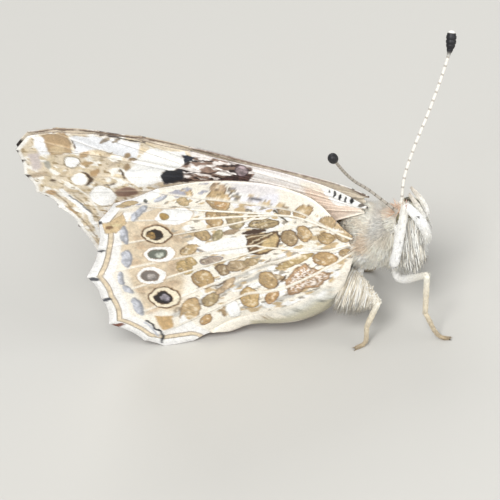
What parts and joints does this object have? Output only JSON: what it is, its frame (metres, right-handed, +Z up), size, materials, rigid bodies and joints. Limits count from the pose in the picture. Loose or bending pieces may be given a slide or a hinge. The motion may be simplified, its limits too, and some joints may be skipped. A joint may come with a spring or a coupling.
{
  "type": "butterfly",
  "caption": "Butterfly at rest: closed scalloped wings with eyespots, furred body, clubbed feelers, a lifted foreleg, standing on its feet and hindwing corners.",
  "frame": {"origin": "middle of the underside of the whole animal's box, on the floor", "axes": "+X towards the head, +Y to the animal's left, +Z up"},
  "size_m": [0.035, 0.0166, 0.0244],
  "materials": {
    "body_fur": "short pale hair over a dark skin",
    "wing_underside": "matt overlapping scales, patterned",
    "forewing_underside": "matt overlapping scales, patterned",
    "eye": "fine facets, softly glossy",
    "leg_scales": "close white scales and hair",
    "feeler": "ringed white and dark, a black club with a pale tip"
  },
  "bodies": {
    "root": {"thorax": "body_fur", "abdomen": "body_fur", "head": "body_fur", "palp_right": "body_fur", "palp_left": "body_fur", "eye_right": "eye", "eye_left": "eye", "antenna_right": "feeler", "antenna_left": "feeler", "forewing_right": "forewing_underside", "forewing_left": "forewing_underside", "hindwing_right": "wing_underside", "hindwing_left": "wing_underside", "foreleg_right_femur": "leg_scales", "foreleg_right_tibia": "leg_scales", "foreleg_left_femur": "leg_scales", "foreleg_left_tibia": "leg_scales", "midleg_right_femur": "leg_scales", "midleg_right_tibia": "leg_scales", "midleg_right_tarsus": "leg_scales", "midleg_left_femur": "leg_scales", "midleg_left_tibia": "leg_scales", "midleg_left_tarsus": "leg_scales", "hindleg_right_femur": "leg_scales", "hindleg_right_tibia": "leg_scales", "hindleg_right_tarsus": "leg_scales", "hindleg_left_femur": "leg_scales", "hindleg_left_tibia": "leg_scales", "hindleg_left_tarsus": "leg_scales"}
  },
  "joints": []
}
